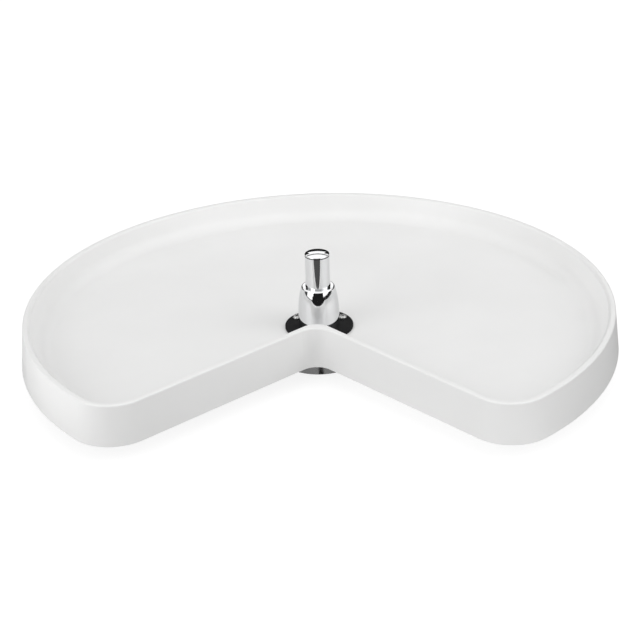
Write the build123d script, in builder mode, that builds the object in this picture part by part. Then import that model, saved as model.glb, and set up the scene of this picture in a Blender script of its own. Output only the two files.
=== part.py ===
"""Corner-cabinet lazy susan: a kidney shelf clamped on a post that turns on a thrust bearing.

Frame: origin on the hub axis at the base plate's underside, +Z up the post, notch towards -Y.
All sizes are in millimetres and degrees.
"""

import os
from math import cos, radians, sin, sqrt, tan

from build123d import *

os.makedirs("parts", exist_ok=True)

# ---------------------------------------------------------------- driving sizes

# Tray
disc_radius = 304.8  # outer edge of the lip
rim_height = 43.0  # skirt's bottom edge to the lip's top
floor_drop = 26.5  # lip's top down to the floor
skirt_flare = 4.0  # how far the skirt's foot stands out past the lip
notch_flare = 2.0  # the same along the notch
tray_wall = 3.0
lip_width = 7.0
lip_outer_round = 1.7
lip_inner_round = 3.0
inner_draft = 18.0  # slope of the inner wall from upright
floor_fillet = 16.0  # inner wall to floor
notch_angle = 90.0
notch_apex = 51.7  # hub axis to the point where the notch's straight sides would meet
corner_round = 40.0  # where the notch's sides meet the disc
apex_round = 20.0  # where the notch's sides meet each other
inner_apex_round = 18.0  # the same at the lip's inner edge
channel_width = 2.0  # flat top of the hollow between inner wall and skirt
rib_thickness = 2.4
rib_depth = 9.0
rib_step = 30.0  # angle between the radial ribs
ring_rib_radii = (110.0, 190.0)
boss_gap = 1.5  # clamp ring to the boss around it
seat_gap = 0.6  # hub flange to the rim of its flat seat

# Hub
flange_thickness = 2.8
flange_round = 0.8
flange_margin = 3.5  # screw head to the flange's edge
spigot_step = 1.0  # how much wider the spigot is than the barrel
barrel_wall = 2.0
barrel_height = 24.0  # tray floor to the barrel's top
sleeve_seat = 5.0  # tray floor to the step that the sleeve stands on
screw_count = 3
screw_start = -90.0  # one screw faces the notch
screw_collar_gap = 1.8  # screw head to the lock collar
screw_radius = 2.0
screw_clearance = 0.15
head_radius = 4.4
head_height = 3.0
head_round = 2.0
recess_width = 1.3
recess_length = 5.0
recess_depth = 1.9
clamp_thickness = 5.0
clamp_margin = 5.0  # ring width outside a nut pocket
nut_flats = 7.0
nut_thickness = 3.2
nut_clearance = 0.1
screw_tail = 0.5  # thread showing under the nut

# Lock collar
collar_height = 43.3
collar_gap = 0.4  # collar to the flange below it
collar_straight = 15.3  # upright part of the bell before it curves in
collar_wall = 1.2
collar_round = 1.8
crown_width = 4.0  # the bell's flat top, from its hole to its edge
insert_wall = 2.8
nut_grip = 9.5  # height of the insert's band that grips the bell
nut_neck = 1.5  # how much the insert narrows above that band
thread_gap = 0.3
sleeve_wall = 2.25
sleeve_slit = 2.0
cone_height = 4.0
cone_slope = 0.25  # inward run per millimetre of height
cone_gap = 0.4

# Post
post_radius = 12.7
post_wall = 1.4
tube_length = 101.2
cap_seam = 1.0  # height and depth of the groove under the cap's rim
cap_rim = 1.0  # height of the cap's upright edge
cap_dome = 1.8  # how far its middle stands above that edge
cap_round = 0.6
cap_plug = 8.0
cap_wall = 1.8
slide_gap = 0.3  # post to what passes round it
sleeve_clearance = 0.05

# Base and bearing
base_thickness = 3.0
base_round = 0.6
base_margin = 3.0  # countersink to the plate's edge
mount_race_gap = 2.0  # countersink to the lower race
mount_count = 4
mount_start = 45.0
mount_hole_radius = 2.5
mount_head_radius = 5.0
spindle_radius = 5.0
spindle_headroom = 21.24  # spindle's end to the cap's plug
spindle_chamfer = 1.0
spindle_head_radius = 9.0
spindle_head_height = 1.5
bush_clearance = 0.05
bush_length = 10.0
race_inner = 14.0
race_outer = 23.0
race_thickness = 3.5
groove_depth = 1.5
groove_side_gap = 0.4  # ball to the groove's sides
pilot_height = 1.5
ball_radius = 2.5
ball_count = 12
ball_clearance = 0.02
cage_thickness = 1.2
cage_margin = 1.0  # race edge to cage edge
cage_hole_gap = 0.2
foot_flange_margin = 1.0  # how far the foot's flange stands out past the race
foot_flange_thickness = 3.0
foot_plug = 26.0
foot_screw_radius = 2.0
foot_screw_height = 8.0  # above the foot's flange
foot_screw_gap = 1.65  # screw's inner end to the bore
foot_screw_setback = 0.5  # how deep its outer end lies in the post
foot_socket_radius = 1.0
foot_socket_depth = 2.0
cover_base_gap = 2.8  # inside the cover, round the base plate
cover_wall = 1.2
cover_round = 3.0
cover_floor_gap = 0.8
shelf_clearance = 11.76  # bearing cover to the clamp ring
clip_thickness = 1.0
clip_groove_depth = 1.0
clip_setback = 2.6  # spindle's end to the clip
clip_margin = 1.0  # how far the washer stands out past the clip
clip_opening = 7.0
washer_thickness = 1.0
washer_tube_gap = 1.8
washer_clearance = 0.1
end_play = 0.3

# ---------------------------------------------------------------- worked-out places

# Bearing stack, from the cabinet floor up
lower_groove = base_thickness + race_thickness - groove_depth
ball_height = lower_groove + ball_clearance + ball_radius
upper_groove = ball_height + ball_radius + ball_clearance
upper_race_bottom = upper_groove - groove_depth
foot_seat = upper_race_bottom + race_thickness
tube_bottom = foot_seat + foot_flange_thickness
tube_top = tube_bottom + tube_length
cover_top = tube_bottom + cover_wall
tube_bore = post_radius - post_wall
ball_circle = (race_inner + race_outer) / 2
groove_half = ball_radius + groove_side_gap
foot_flange_radius = race_outer + foot_flange_margin
mount_circle = 2 * (race_outer + mount_race_gap + mount_head_radius)
base_radius = mount_circle / 2 + mount_head_radius + base_margin
cover_radius = base_radius + cover_base_gap + cover_wall

# Shelf stack
clamp_bottom = cover_top + shelf_clearance
clamp_top = clamp_bottom + clamp_thickness
floor_top = clamp_top + tray_wall
lip_top = floor_top + floor_drop
skirt_bottom = lip_top - rim_height
flange_top = floor_top + flange_thickness
barrel_top = floor_top + barrel_height
sleeve_bottom = floor_top + sleeve_seat
sleeve_inner = post_radius + sleeve_clearance
sleeve_outer = sleeve_inner + sleeve_wall
barrel_radius = sleeve_outer + barrel_wall
spigot_radius = barrel_radius + spigot_step
thread_radius = barrel_radius + thread_gap
grip_radius = thread_radius + insert_wall
collar_radius = grip_radius + collar_wall
screw_circle = 2 * (collar_radius + screw_collar_gap + head_radius)
flange_radius = screw_circle / 2 + head_radius + flange_margin
screw_hole_radius = screw_radius + screw_clearance
pocket_flats = nut_flats + 2 * nut_clearance
clamp_radius = screw_circle / 2 + pocket_flats / sqrt(3) + clamp_margin
nut_top = clamp_bottom + nut_thickness + nut_clearance

# Collar stack
collar_bottom = flange_top + collar_gap
collar_top = collar_bottom + collar_height
cone_bottom = barrel_top + collar_gap
cone_top = cone_bottom + cone_height

# Spindle's end
bush_bore = spindle_radius + bush_clearance
spindle_length = tube_top - cap_plug - spindle_headroom
clip_top = spindle_length - clip_setback
clip_bottom = clip_top - clip_thickness
washer_bottom = clip_bottom - washer_thickness
bush_top = washer_bottom - end_play
washer_radius = tube_bore - washer_tube_gap
clip_radius = washer_radius - clip_margin
foot_screw_start = bush_bore + foot_screw_gap


# ---------------------------------------------------------------- shared shapes


def turned(*points):
    """Solid turned about the hub axis from (radius, height) points."""
    with BuildSketch(Plane.XZ) as section:
        Polygon(*points, align=None)
    return revolve(section.sketch, axis=Axis.Z)


def ring(bottom, top, outer, inner, mode=Mode.ADD):
    """Plain ring about the hub axis."""
    with BuildSketch(Plane.XY.offset(bottom)) as section:
        Circle(outer)
        Circle(inner, mode=Mode.SUBTRACT)
    return extrude(section.sketch, amount=top - bottom, mode=mode)


def disc(bottom, top, radius, mode=Mode.ADD):
    """Plain disc about the hub axis."""
    with BuildSketch(Plane.XY.offset(bottom)) as section:
        Circle(radius)
    return extrude(section.sketch, amount=top - bottom, mode=mode)


def on_circle(bottom, top, circle, count, radius, start=0.0, mode=Mode.ADD):
    """Equal round posts, or holes, spaced on a circle about the hub axis."""
    with BuildSketch(Plane.XY.offset(bottom)) as section:
        with PolarLocations(circle / 2, count, start_angle=start):
            Circle(radius)
    return extrude(section.sketch, amount=top - bottom, mode=mode)


def finish(piece, name):
    """Label a finished piece and write it."""
    piece.part.label = name
    export_step(piece.part, f"parts/{name}.step")


# ---------------------------------------------------------------- tray


def kidney(grow, notch_grow, apex_radius):
    """Tray outline, its disc and its notch each moved outward: a disc less a wedge, corners rounded."""
    half = radians(notch_angle / 2)
    apex = -(notch_apex + notch_grow / sin(half))
    reach = 2 * disc_radius
    with BuildSketch() as outline:
        Circle(disc_radius + grow)
        wedge = [(0, apex), (-reach * tan(half), apex - reach), (reach * tan(half), apex - reach)]
        Polygon(*wedge, align=None, mode=Mode.SUBTRACT)
        by_depth = outline.vertices().sort_by(Axis.Y)
        fillet(by_depth[:2], corner_round + grow)
        fillet(outline.vertices().sort_by_distance((0, apex))[0], apex_radius)
    return outline.sketch


def skirt_block(bottom, top, inset):
    """Solid between two heights with the skirt's flared side, inset from its outer face."""
    with BuildPart() as block:
        for height in (bottom, top):
            fall = (lip_top - height) / rim_height
            notch_grow = notch_flare * fall - inset
            with BuildSketch(Plane.XY.offset(height)):
                add(kidney(skirt_flare * fall - inset, notch_grow, apex_round - notch_grow))
        loft(ruled=True)
    return block


def wall_grow(height, depth):
    """Outward growth of the inner wall at a height, depth millimetres into the plastic."""
    lean = radians(inner_draft)
    return -lip_width - (lip_top - height) * tan(lean) + depth / cos(lean)


def bowl(depth):
    """The space above the floor, grown by depth all round, with its rounded foot."""
    bottom = floor_top - depth
    grow = wall_grow(bottom, depth)
    with BuildPart() as block:
        with BuildSketch(Plane.XY.offset(bottom)):
            add(kidney(grow, grow, inner_apex_round - lip_width - grow))
        extrude(amount=lip_top + lip_width - bottom, taper=-inner_draft)
        fillet(block.faces().sort_by(Axis.Z)[0].edges(), floor_fillet + depth)
    return block.part


def spokes():
    """Radial ribs, evenly spaced either side of the notch."""
    count = round((360 - notch_angle) / rib_step)
    first = notch_angle / 2 - 90 + rib_step / 2
    with BuildSketch() as fan:
        for number in range(count):
            with Locations(Location((0, 0, 0), (0, 0, first + number * rib_step))):
                Rectangle(disc_radius, rib_thickness, align=(Align.MIN, Align.CENTER))
    return fan.sketch


def rib_plan():
    """Plan of the ribs under the floor: ring ribs, radial ribs and the boss round the clamp ring."""
    boss_radius = clamp_radius + boss_gap
    with BuildSketch(Plane.XY.offset(clamp_top - rib_depth)) as plan:
        for radius in (*sorted(ring_rib_radii, reverse=True), boss_radius):
            Circle(radius + rib_thickness)
            Circle(radius, mode=Mode.SUBTRACT)
        add(spokes())
        Circle(boss_radius, mode=Mode.SUBTRACT)
        add(kidney(-tray_wall, -tray_wall, apex_round + tray_wall), mode=Mode.INTERSECT)
    return plan.sketch


# The hollow under the tray ends where the inner wall and the skirt come within the channel's width.
closing = tan(radians(inner_draft)) - skirt_flare / rim_height
gap_at_lip = wall_grow(lip_top, tray_wall) + tray_wall
hollow_top = lip_top - max(tray_wall, (channel_width + gap_at_lip) / closing)

hollow = skirt_block(skirt_bottom, hollow_top, tray_wall)
with hollow:
    add(bowl(tray_wall), mode=Mode.SUBTRACT)
    extrude(rib_plan(), amount=rim_height, mode=Mode.SUBTRACT)

tray = skirt_block(skirt_bottom, lip_top, 0.0)
with tray:
    fillet(tray.faces().sort_by(Axis.Z)[-1].edges(), lip_outer_round)
    add(hollow.part, mode=Mode.SUBTRACT)
    add(bowl(0.0), mode=Mode.SUBTRACT)
    fillet(tray.faces().sort_by(Axis.Z)[-1].inner_wires().edges(), lip_inner_round)
    disc(floor_top, lip_top, flange_radius + seat_gap, mode=Mode.SUBTRACT)
    disc(clamp_top, floor_top, spigot_radius, mode=Mode.SUBTRACT)
    on_circle(
        clamp_top, floor_top, screw_circle, screw_count, screw_hole_radius, screw_start, Mode.SUBTRACT
    )
finish(tray, "tray")

# ---------------------------------------------------------------- hub

with BuildPart() as hub_flange:
    turned(
        (post_radius + slide_gap, clamp_bottom),
        (spigot_radius, clamp_bottom),
        (spigot_radius, floor_top),
        (flange_radius, floor_top),
        (flange_radius, flange_top),
        (barrel_radius, flange_top),
        (barrel_radius, barrel_top),
        (sleeve_outer, barrel_top),
        (sleeve_outer, sleeve_bottom),
        (post_radius + slide_gap, sleeve_bottom),
    )
    rim = hub_flange.edges().filter_by(GeomType.CIRCLE).sort_by(SortBy.RADIUS)[-2:]
    fillet(rim.sort_by(Axis.Z)[-1], flange_round)
    on_circle(
        floor_top, flange_top, screw_circle, screw_count, screw_hole_radius, screw_start, Mode.SUBTRACT
    )
finish(hub_flange, "hub_flange")

with BuildPart() as shelf_screws:
    on_circle(clamp_bottom - screw_tail, flange_top, screw_circle, screw_count, screw_radius, screw_start)
    heads = on_circle(
        flange_top, flange_top + head_height, screw_circle, screw_count, head_radius, screw_start
    )
    crowns = heads.edges().group_by(Axis.Z)[-1]
    fillet(crowns, head_round)
    with BuildSketch(Plane.XY.offset(flange_top + head_height)):
        with PolarLocations(screw_circle / 2, screw_count, start_angle=screw_start):
            Rectangle(recess_length, recess_width)
            Rectangle(recess_width, recess_length)
    extrude(amount=-recess_depth, mode=Mode.SUBTRACT)
finish(shelf_screws, "shelf_screws")

with BuildPart() as clamp_ring:
    ring(clamp_bottom, clamp_top, clamp_radius, spigot_radius)
    on_circle(
        clamp_bottom, clamp_top, screw_circle, screw_count, screw_hole_radius, screw_start, Mode.SUBTRACT
    )
    with BuildSketch(Plane.XY.offset(clamp_bottom)):
        with PolarLocations(screw_circle / 2, screw_count, start_angle=screw_start):
            RegularPolygon(pocket_flats / 2, 6, major_radius=False)
    extrude(amount=nut_top - clamp_bottom, mode=Mode.SUBTRACT)
finish(clamp_ring, "clamp_ring")

with BuildPart() as shelf_nuts:
    with BuildSketch(Plane.XY.offset(nut_top - nut_thickness)):
        with PolarLocations(screw_circle / 2, screw_count, start_angle=screw_start):
            RegularPolygon(nut_flats / 2, 6, major_radius=False)
            Circle(screw_radius, mode=Mode.SUBTRACT)
    extrude(amount=nut_thickness)
finish(shelf_nuts, "shelf_nuts")

with BuildPart() as clamp_sleeve:
    turned(
        (sleeve_inner, sleeve_bottom),
        (sleeve_outer, sleeve_bottom),
        (sleeve_outer, cone_bottom),
        (sleeve_outer - cone_slope * cone_height, cone_top),
        (sleeve_inner, cone_top),
    )
    with BuildSketch(Plane.XY.offset(sleeve_bottom)):
        Rectangle(2 * sleeve_outer, sleeve_slit, align=(Align.MIN, Align.CENTER))
    extrude(amount=cone_top - sleeve_bottom, mode=Mode.SUBTRACT)
finish(clamp_sleeve, "clamp_sleeve")

# ---------------------------------------------------------------- lock collar


def bell_section(inset):
    """Half section of the bell, inset from its outer face: upright side, curve, flat top."""
    shoulder = collar_bottom + collar_straight
    fall = collar_radius - (post_radius + slide_gap + crown_width)
    curve = ((collar_top - shoulder) ** 2 + fall**2) / (2 * fall)
    radius = collar_radius - inset
    top = collar_top - inset
    top_radius = collar_radius - curve + sqrt((curve - inset) ** 2 - (top - shoulder) ** 2)
    with BuildSketch(Plane.XZ) as section:
        with BuildLine():
            Polyline((0, top), (0, collar_bottom), (radius, collar_bottom), (radius, shoulder))
            TangentArc((radius, shoulder), (top_radius, top), tangent=(0, 1))
            Line((top_radius, top), (0, top))
        make_face()
    return section.sketch


with BuildPart() as lock_collar:
    revolve(bell_section(0.0), axis=Axis.Z)
    fillet(lock_collar.edges().filter_by(GeomType.CIRCLE).group_by(Axis.Z)[-1], collar_round)
    revolve(bell_section(collar_wall), axis=Axis.Z, mode=Mode.SUBTRACT)
    disc(collar_bottom, collar_top, post_radius + slide_gap, mode=Mode.SUBTRACT)
finish(lock_collar, "lock_collar")

with BuildPart() as collar_nut:
    grip_bottom = collar_bottom + collar_wall
    cone_mouth = sleeve_outer + cone_gap
    turned(
        (thread_radius, grip_bottom),
        (grip_radius, grip_bottom),
        (grip_radius, grip_bottom + nut_grip),
        (grip_radius - nut_neck, grip_bottom + nut_grip),
        (grip_radius - nut_neck, cone_top),
        (cone_mouth - cone_slope * cone_height, cone_top),
        (cone_mouth, cone_bottom),
        (thread_radius, cone_bottom),
    )
finish(collar_nut, "collar_nut")

# ---------------------------------------------------------------- post

with BuildPart() as post_tube:
    ring(tube_bottom, tube_top, post_radius, tube_bore)
    with BuildSketch(Plane.YZ):
        with Locations((0, tube_bottom + foot_screw_height)):
            Circle(foot_screw_radius)
    extrude(amount=post_radius, mode=Mode.SUBTRACT)
finish(post_tube, "post_tube")

with BuildPart() as post_cap:
    rim_bottom = tube_top + cap_seam
    rim_top = rim_bottom + cap_rim
    dome_radius = (post_radius**2 + cap_dome**2) / (2 * cap_dome)
    disc(rim_bottom, rim_top + cap_dome, post_radius)
    with Locations((0, 0, rim_top + cap_dome - dome_radius)):
        Sphere(dome_radius, mode=Mode.INTERSECT)
    fillet(post_cap.edges().sort_by_distance((0, post_radius, rim_top))[0], cap_round)
    disc(tube_top, rim_bottom, post_radius - cap_seam)
    ring(tube_top - cap_plug, tube_top, tube_bore, tube_bore - cap_wall)
finish(post_cap, "post_cap")

with BuildPart() as upper_bush:
    ring(bush_top - bush_length, bush_top, tube_bore, bush_bore)
finish(upper_bush, "upper_bush")

with BuildPart() as post_foot:
    turned(
        (bush_bore, foot_seat - pilot_height),
        (race_inner, foot_seat - pilot_height),
        (race_inner, foot_seat),
        (foot_flange_radius, foot_seat),
        (foot_flange_radius, tube_bottom),
        (tube_bore, tube_bottom),
        (tube_bore, tube_bottom + foot_plug),
        (bush_bore, tube_bottom + foot_plug),
    )
    with BuildSketch(Plane.YZ.offset(foot_screw_start)):
        with Locations((0, tube_bottom + foot_screw_height)):
            Circle(foot_screw_radius)
    extrude(amount=post_radius - foot_screw_start, mode=Mode.SUBTRACT)
finish(post_foot, "post_foot")

with BuildPart() as foot_screw:
    with BuildSketch(Plane.YZ.offset(foot_screw_start)):
        with Locations((0, tube_bottom + foot_screw_height)):
            Circle(foot_screw_radius)
    extrude(amount=post_radius - foot_screw_setback - foot_screw_start)
    outer_end = foot_screw.faces().sort_by(Axis.X)[-1]
    with BuildSketch(Plane(outer_end)):
        RegularPolygon(foot_socket_radius, 6)
    extrude(amount=-foot_socket_depth, mode=Mode.SUBTRACT)
finish(foot_screw, "foot_screw")

with BuildPart() as bearing_cover:
    disc(cover_floor_gap, cover_top, cover_radius)
    fillet(bearing_cover.edges().group_by(Axis.Z)[-1], cover_round)
    disc(cover_floor_gap, tube_bottom, cover_radius - cover_wall, mode=Mode.SUBTRACT)
    disc(tube_bottom, cover_top, post_radius, mode=Mode.SUBTRACT)
finish(bearing_cover, "bearing_cover")

# ---------------------------------------------------------------- base and bearing

with BuildPart() as base_plate:
    disc(0.0, base_thickness, base_radius)
    fillet(base_plate.edges().group_by(Axis.Z)[-1], base_round)
    disc(base_thickness, base_thickness + pilot_height, race_inner)
    disc(0.0, spindle_head_height, spindle_head_radius, mode=Mode.SUBTRACT)
    disc(0.0, base_thickness + pilot_height, spindle_radius, mode=Mode.SUBTRACT)
    with Locations(Plane.XY.offset(base_thickness)):
        with PolarLocations(mount_circle / 2, mount_count, start_angle=mount_start):
            CounterSinkHole(mount_hole_radius, mount_head_radius, depth=base_thickness)
finish(base_plate, "base_plate")

with BuildPart() as spindle:
    disc(0.0, spindle_head_height, spindle_head_radius)
    disc(0.0, spindle_length, spindle_radius)
    chamfer(spindle.edges().group_by(Axis.Z)[-1], spindle_chamfer)
    ring(clip_bottom, clip_top, spindle_radius, spindle_radius - clip_groove_depth, mode=Mode.SUBTRACT)
finish(spindle, "spindle")

with BuildPart() as lower_race:
    ring(base_thickness, base_thickness + race_thickness, race_outer, race_inner)
    ring(
        lower_groove,
        base_thickness + race_thickness,
        ball_circle + groove_half,
        ball_circle - groove_half,
        mode=Mode.SUBTRACT,
    )
finish(lower_race, "lower_race")

with BuildPart() as upper_race:
    ring(upper_race_bottom, foot_seat, race_outer, race_inner)
    ring(
        upper_race_bottom,
        upper_groove,
        ball_circle + groove_half,
        ball_circle - groove_half,
        mode=Mode.SUBTRACT,
    )
finish(upper_race, "upper_race")

with BuildPart() as ball_cage:
    cage_bottom = ball_height - cage_thickness / 2
    cage_top = ball_height + cage_thickness / 2
    ring(cage_bottom, cage_top, race_outer - cage_margin, race_inner + cage_margin)
    hole_radius = ball_radius + cage_hole_gap
    on_circle(cage_bottom, cage_top, 2 * ball_circle, ball_count, hole_radius, mode=Mode.SUBTRACT)
finish(ball_cage, "ball_cage")

with BuildPart() as bearing_balls:
    with Locations((0, 0, ball_height)):
        with PolarLocations(ball_circle, ball_count):
            Sphere(ball_radius)
finish(bearing_balls, "bearing_balls")

with BuildPart() as thrust_washer:
    ring(washer_bottom, clip_bottom, washer_radius, spindle_radius + washer_clearance)
finish(thrust_washer, "thrust_washer")

with BuildPart() as retaining_ring:
    ring(clip_bottom, clip_top, clip_radius, spindle_radius - clip_groove_depth)
    with BuildSketch(Plane.XY.offset(clip_bottom)):
        Rectangle(2 * clip_radius, clip_opening, align=(Align.MIN, Align.CENTER))
    extrude(amount=clip_thickness, mode=Mode.SUBTRACT)
finish(retaining_ring, "retaining_ring")
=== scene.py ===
import math

import bpy
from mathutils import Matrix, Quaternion, Vector


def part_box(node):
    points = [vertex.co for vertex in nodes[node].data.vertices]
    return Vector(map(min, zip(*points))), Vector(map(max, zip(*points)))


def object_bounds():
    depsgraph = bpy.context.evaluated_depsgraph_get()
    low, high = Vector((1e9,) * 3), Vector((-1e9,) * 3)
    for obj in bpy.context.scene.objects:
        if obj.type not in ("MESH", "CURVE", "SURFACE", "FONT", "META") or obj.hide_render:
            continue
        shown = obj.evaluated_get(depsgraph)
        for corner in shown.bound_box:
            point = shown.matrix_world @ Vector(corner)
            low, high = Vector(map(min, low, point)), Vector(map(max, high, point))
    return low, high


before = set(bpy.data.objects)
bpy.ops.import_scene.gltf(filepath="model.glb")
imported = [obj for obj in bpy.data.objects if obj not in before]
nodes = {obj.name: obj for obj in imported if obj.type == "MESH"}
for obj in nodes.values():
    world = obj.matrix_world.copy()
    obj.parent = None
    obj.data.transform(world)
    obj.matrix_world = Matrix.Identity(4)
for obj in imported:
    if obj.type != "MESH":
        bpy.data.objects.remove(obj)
cad_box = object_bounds()

# ------------------------------------------------------------------ heights from the frame, in metres

TUBE_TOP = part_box("post_tube")[1].z
GROOVE_SHADE_HEIGHT = 0.001  # painted shade: dark band round the cap, up from the tube's end, standing in for the shadow in the groove
LAYER = 0.0001  # height between cards that lie on the floor
FLOOR_LEVEL = cad_box[0].z - 2 * LAYER
BOUNCE_LEVEL = FLOOR_LEVEL - 2 * LAYER

# ------------------------------------------------------------------ material nodes


class Shader:
    """A material's node tree, with short calls for the nodes used here."""

    def __init__(self, name):
        self.material = bpy.data.materials.new(name)
        self.material.use_nodes = True
        self.tree = self.material.node_tree
        self.surface = self.tree.nodes["Principled BSDF"]
        self.place = self.add("ShaderNodeTexCoord").outputs["Object"]

    def add(self, kind, **settings):
        node = self.tree.nodes.new(kind)
        for key, value in settings.items():
            setattr(node, key, value)
        return node

    def link(self, source, target):
        self.tree.links.new(source, target)

    def set(self, **values):
        """Set uniform values on the surface itself; an underscore stands for a space."""
        for key, value in values.items():
            self.surface.inputs[key.replace("_", " ")].default_value = value

    def noise(self, size, detail=2.0, roughness=0.5):
        """Noise whose lumps are about size metres across."""
        noise = self.add("ShaderNodeTexNoise")
        noise.inputs["Scale"].default_value = 1 / size
        noise.inputs["Detail"].default_value = detail
        noise.inputs["Roughness"].default_value = roughness
        self.link(self.place, noise.inputs["Vector"])
        return noise.outputs["Fac"]

    def spread(self, value, low, high, start=0.3, end=0.7):
        """Map a 0 to 1 value between start and end on to the range low to high."""
        ramp = self.add("ShaderNodeMapRange", clamp=True)
        ramp.inputs["From Min"].default_value = start
        ramp.inputs["From Max"].default_value = end
        ramp.inputs["To Min"].default_value = low
        ramp.inputs["To Max"].default_value = high
        self.link(value, ramp.inputs["Value"])
        return ramp.outputs["Result"]

    def mix(self, factor, dark, light):
        """Colour between dark and light by factor."""
        mixer = self.add("ShaderNodeMix", data_type="RGBA")
        mixer.inputs["A"].default_value = (*dark, 1)
        mixer.inputs["B"].default_value = (*light, 1)
        self.link(factor, mixer.inputs["Factor"])
        return mixer.outputs["Result"]

    def band(self, bottom, height):
        """1 between two heights of the object, and 0 above and below them."""
        split = self.add("ShaderNodeSeparateXYZ")
        self.link(self.place, split.inputs["Vector"])
        inside = self.add("ShaderNodeMath", operation="COMPARE")
        inside.inputs[1].default_value = bottom + height / 2
        inside.inputs[2].default_value = height / 2
        self.link(split.outputs["Z"], inside.inputs[0])
        return inside.outputs["Value"]

    def bump(self, height, distance, under=None):
        """Fine relief of a given depth in metres, on top of another relief where one is given."""
        bump = self.add("ShaderNodeBump")
        bump.inputs["Distance"].default_value = distance
        bump.inputs["Strength"].default_value = 1.0
        self.link(height, bump.inputs["Height"])
        if under is not None:
            self.link(under, bump.inputs["Normal"])
        return bump.outputs["Normal"]


COLOUR_DRIFT_SIZE = 0.09  # metres
GLOSS_PATCH_SIZE = 0.012
MOULD_GRAIN_DEPTH = 0.00001
# painted shade: near-black colour of the band round the cap, standing in for the groove's shadow
GROOVE_SHADE_COLOUR = (0.015, 0.015, 0.015)


def polymer(name, dark, light, rough, grain, gloss_level=0.5):
    """Moulded plastic: faint colour drift, satin gloss that varies, fine mould grain over a coarser one."""
    shader = Shader(name)
    shader.set(Specular_IOR_Level=gloss_level)
    tone = shader.spread(shader.noise(COLOUR_DRIFT_SIZE, 3), 0.0, 1.0)
    shader.link(shader.mix(tone, dark, light), shader.surface.inputs["Base Color"])
    gloss = shader.spread(shader.noise(GLOSS_PATCH_SIZE, 4, 0.6), *rough)
    shader.link(gloss, shader.surface.inputs["Roughness"])
    coarse = shader.bump(shader.noise(grain * 12, 2), MOULD_GRAIN_DEPTH * 3)
    fine = shader.bump(shader.noise(grain, 3, 0.6), MOULD_GRAIN_DEPTH, under=coarse)
    shader.link(fine, shader.surface.inputs["Normal"])
    return shader


def metal(name, dark, light, rough, smudge):
    """Bare or plated metal: its colour and gloss drift in smudges about smudge metres across."""
    shader = Shader(name)
    shader.set(Metallic=1.0)
    tone = shader.spread(shader.noise(smudge, 3), 0.0, 1.0)
    shader.link(shader.mix(tone, dark, light), shader.surface.inputs["Base Color"])
    gloss = shader.spread(shader.noise(smudge * 0.6, 5, 0.65), *rough)
    shader.link(gloss, shader.surface.inputs["Roughness"])
    return shader


def painted_groove_shade(shader, bottom, height):
    """Paint a metal's band between two heights dark and non-metallic: a painted shade for the shadow in a
    groove.
    """
    band = shader.band(bottom, height)
    metal_colour = shader.surface.inputs["Base Color"].links[0].from_socket
    mixer = shader.add("ShaderNodeMix", data_type="RGBA")
    mixer.inputs["B"].default_value = (*GROOVE_SHADE_COLOUR, 1)
    shader.link(metal_colour, mixer.inputs["A"])
    shader.link(band, mixer.inputs["Factor"])
    shader.link(mixer.outputs["Result"], shader.surface.inputs["Base Color"])
    shader.link(shader.spread(band, 1.0, 0.0, 0, 1), shader.surface.inputs["Metallic"])
    return shader


# Plastics: darkest and lightest tone, range of roughness, size of the mould grain
white_polymer = polymer("white_polymer", (0.835, 0.835, 0.83), (0.86, 0.86, 0.856), (0.34, 0.46), 0.0008)
black_nylon = polymer(
    "black_nylon", (0.006, 0.006, 0.0065), (0.011, 0.011, 0.0115), (0.45, 0.58), 0.0005, gloss_level=0.06
)
grey_nylon = polymer("grey_nylon", (0.27, 0.27, 0.26), (0.31, 0.31, 0.30), (0.4, 0.52), 0.0005)
acetal = polymer("white_acetal", (0.62, 0.61, 0.57), (0.68, 0.67, 0.63), (0.3, 0.4), 0.0005)

# Metals: darkest and lightest tone, range of roughness, size of the smudges
CHROME_PLATE = ((0.76, 0.765, 0.775), (0.8, 0.805, 0.81), (0.035, 0.07), 0.02)
chrome = metal("chrome", *CHROME_PLATE)
# the cap's chrome has a painted shade band just above the tube's end, for the shadow in the groove
cap_chrome_painted_shade = painted_groove_shade(metal("cap_chrome_painted_shade", *CHROME_PLATE), TUBE_TOP, GROOVE_SHADE_HEIGHT)
screw_steel = metal("screw_steel", (0.38, 0.38, 0.375), (0.46, 0.46, 0.455), (0.2, 0.32), 0.003)
base_steel = metal("base_steel", (0.42, 0.42, 0.41), (0.5, 0.5, 0.49), (0.3, 0.42), 0.02)
bearing_steel = metal("bearing_steel", (0.5, 0.5, 0.51), (0.6, 0.6, 0.61), (0.12, 0.2), 0.01)
cover_steel = metal("cover_steel", (0.34, 0.34, 0.34), (0.4, 0.4, 0.4), (0.2, 0.3), 0.02)

FINISHES = {
    white_polymer: ["tray"],
    black_nylon: ["hub_flange", "clamp_ring"],
    grey_nylon: ["collar_nut", "post_foot"],
    acetal: ["clamp_sleeve", "upper_bush", "ball_cage", "thrust_washer"],
    chrome: ["lock_collar", "post_tube"],
    cap_chrome_painted_shade: ["post_cap"],
    screw_steel: ["shelf_screws", "shelf_nuts", "foot_screw"],
    base_steel: ["base_plate"],
    bearing_steel: ["spindle", "lower_race", "upper_race", "bearing_balls", "retaining_ring"],
    cover_steel: ["bearing_cover"],
}

for shader, names in FINISHES.items():
    for name in names:
        node = nodes[name]
        node.data.materials.clear()
        node.data.materials.append(shader.material)

# ------------------------------------------------------------------ floor and light

FLOOR_SIZE = 30.0
SKY_LEVEL = 0.73  # even light from all round
TABLE = 0.3  # how much light the floor gives back
TABLE_GLOW = 0.83
DARK = 0.02  # black cards, and the dull face of the glowing ones
BACKDROP_RADIUS = 14.0
BRIGHT_GLOW = 1.25  # cards behind and above, which the chrome shows white
STRIP_GLOW = 1.6  # the two strips that the chrome shows as highlights
SET_RADIUS = 4.0  # hub axis to the cards that stand round the set
SET_HALF = 5.0  # hub axis to the edge of the floor cards


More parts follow.
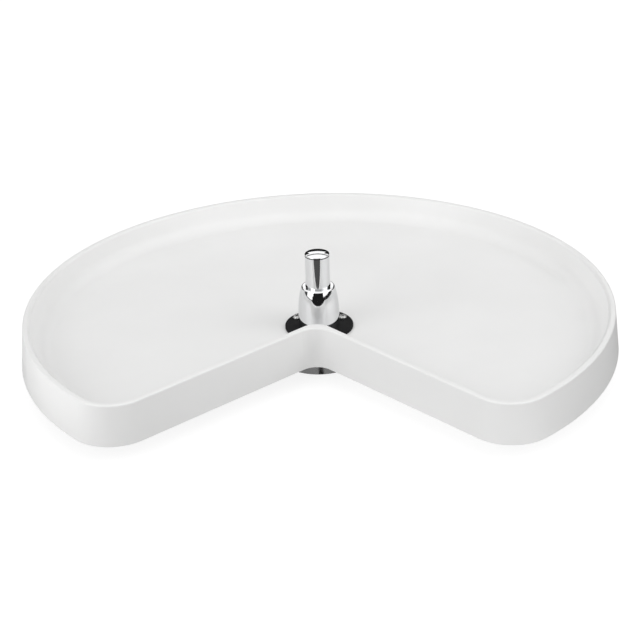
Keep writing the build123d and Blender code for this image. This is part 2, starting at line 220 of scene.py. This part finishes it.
def plain(name, colour, glow=0.0):
    """Matt studio material, with its own even glow where the real thing is lit from behind."""
    material = bpy.data.materials.new(name)
    material.use_nodes = True
    surface = material.node_tree.nodes["Principled BSDF"]
    surface.inputs["Base Color"].default_value = (colour, colour, colour, 1)
    surface.inputs["Roughness"].default_value = 1.0
    surface.inputs["Specular IOR Level"].default_value = 0.0
    surface.inputs["Emission Color"].default_value = (1, 1, 1, 1)
    surface.inputs["Emission Strength"].default_value = glow
    return material


def softbox(name, place, target, size, power):
    """Square area light at place, facing target."""
    light = bpy.data.lights.new(name, "AREA")
    light.shape = "SQUARE"
    light.size = size
    light.energy = power
    box = bpy.data.objects.new(name, light)
    box.location = place
    box.rotation_euler = (Vector(target) - Vector(place)).to_track_quat("-Z", "Y").to_euler()
    bpy.context.scene.collection.objects.link(box)


def card(name, points, colour, glow=0.0, shows="reflections"):
    """Studio card: a strip through (x, y, low, high) posts, or a flat outline.

    It shows in one way only: in reflections, as light on matt pieces, or as the view behind the object.
    """
    rows = [Vector(p[:3]) for p in points]
    if len(points[0]) == 4:
        rows += [Vector((p[0], p[1], p[3])) for p in points]
        count = len(points)
        faces = [(i, i + 1, i + 1 + count, i + count) for i in range(count - 1)]
    else:
        faces = [tuple(range(len(rows)))]
    mesh = bpy.data.meshes.new(name)
    mesh.from_pydata(rows, [], faces)
    obj = bpy.data.objects.new(name, mesh)
    obj.data.materials.append(plain(name, colour, glow))
    bpy.context.scene.collection.objects.link(obj)
    obj.visible_camera = shows == "view"
    obj.visible_diffuse = shows == "light"
    obj.visible_glossy = shows == "reflections"
    obj.visible_shadow = False
    obj.visible_transmission = False


def arc(radius, start, stop, low, high, steps=24):
    """Upright strip round the hub axis between two bearings, in degrees from -Y towards +X."""
    posts = []
    for step in range(steps + 1):
        bearing = math.radians(start + (stop - start) * step / steps)
        posts.append((radius * math.sin(bearing), -radius * math.cos(bearing), low, high))
    return posts


def square(half, height):
    """Level square about the hub axis."""
    return [(x, y, height) for x, y in ((-half, -half), (half, -half), (half, half), (-half, half))]


def sector(inner, outer, start, stop, height):
    """Level piece of a ring about the hub axis between two bearings, turned as in arc."""
    rims = [arc(inner, start, stop, height, height), arc(outer, start, stop, height, height)[::-1]]
    return [post[:3] for rim in rims for post in rim]


bpy.ops.mesh.primitive_plane_add(size=FLOOR_SIZE, location=(0, 0, FLOOR_LEVEL))
floor = bpy.context.object
floor.name = "studio_floor"
floor.data.materials.append(plain("light_table", TABLE, TABLE_GLOW))
floor.visible_diffuse = False
floor.visible_glossy = False

world = bpy.data.worlds.new("studio")
bpy.context.scene.world = world
world.use_nodes = True
world.node_tree.nodes["Background"].inputs["Color"].default_value = (1, 1, 1, 1)
world.node_tree.nodes["Background"].inputs["Strength"].default_value = SKY_LEVEL

softbox("left_front", (-2.2, -2.0, 1.3), (0, 0, 0.03), 2.2, 29)
softbox("right_side", (2.3, -0.6, 1.8), (0, 0, 0.03), 2.0, 20)

# White surround behind the floor
card("backdrop", arc(BACKDROP_RADIUS, 0, 360, FLOOR_LEVEL, BACKDROP_RADIUS), DARK, 1.0, shows="view")

# Light that the floor throws up at the matt pieces, brightest at the left
card("bounce", square(SET_HALF, BOUNCE_LEVEL - LAYER), TABLE, 0.1, shows="light")
card("bounce_front", sector(0.0, SET_RADIUS, -45, 0, BOUNCE_LEVEL), TABLE, 0.26, shows="light")
card("bounce_right", sector(0.0, SET_RADIUS, 0, 50, BOUNCE_LEVEL), TABLE, 0.44, shows="light")
card("bounce_left", sector(0.35, SET_RADIUS, -120, -45, BOUNCE_LEVEL), TABLE, 1.4, shows="light")

# What the chrome and the bearing cover mirror: the floor, the horizon, the room behind and the lights.
# The dark backs are left and right as seen from behind, the strips as seen by the camera.
card("dark_ground", square(SET_HALF, FLOOR_LEVEL + LAYER), 0.09)
card("far_ground", sector(0.5, SET_HALF, -70, 70, FLOOR_LEVEL + 2 * LAYER), 0.015)
card("cup_ground", sector(0.0, 0.2, -180, 180, FLOOR_LEVEL + 2 * LAYER), DARK, 0.45)
card("cup_stripe", sector(0.044, 0.2, 0, 8, FLOOR_LEVEL + 3 * LAYER), DARK)
card("dark_horizon", arc(SET_RADIUS, -110, 110, FLOOR_LEVEL, 0.22), 0.03)
card("dark_back", arc(SET_RADIUS, 110, 250, FLOOR_LEVEL, 1.42), DARK)
card("dark_back_left", arc(SET_RADIUS + 0.05, 110, 174, 1.4, 2.3), DARK)
card("dark_back_right", arc(SET_RADIUS + 0.05, 193, 250, 1.4, 2.3), DARK)
card("back_line", arc(3.0, 155, 205, 2.05, 2.42), 0.15)
card("bright_back", arc(SET_RADIUS + 0.2, 110, 250, 1.3, 3.6), DARK, BRIGHT_GLOW)
card("camera_gap", arc(3.6, -32, 33, FLOOR_LEVEL, 0.95), DARK)
card("strip_left", arc(3.0, -69, -34, 0.0, 1.2), DARK, STRIP_GLOW)
card("strip_right", arc(3.0, 35, 70, 0.22, 1.2), DARK, STRIP_GLOW)
card("ceiling", square(6, 3.6), DARK, BRIGHT_GLOW)

# ------------------------------------------------------------------ camera

CAMERA_PLACE = Vector((0.1105, -1.905, 0.953))
CAMERA_AIM = Vector((0.0009, 0, 0.0429))
CAMERA_ROLL = math.radians(1.88)
SENSOR_WIDTH = 36  # millimetres
FOCAL_LENGTH = 114.5  # millimetres

camera = bpy.data.objects.new("camera", bpy.data.cameras.new("camera"))
camera.data.sensor_width = SENSOR_WIDTH
camera.data.lens = FOCAL_LENGTH
camera.location = CAMERA_PLACE
look = (CAMERA_AIM - CAMERA_PLACE).to_track_quat("-Z", "Y")
camera.rotation_mode = "QUATERNION"
camera.rotation_quaternion = look @ Quaternion((0, 0, 1), -CAMERA_ROLL)
bpy.context.scene.collection.objects.link(camera)
bpy.context.scene.camera = camera
bpy.context.scene.view_settings.view_transform = "Standard"
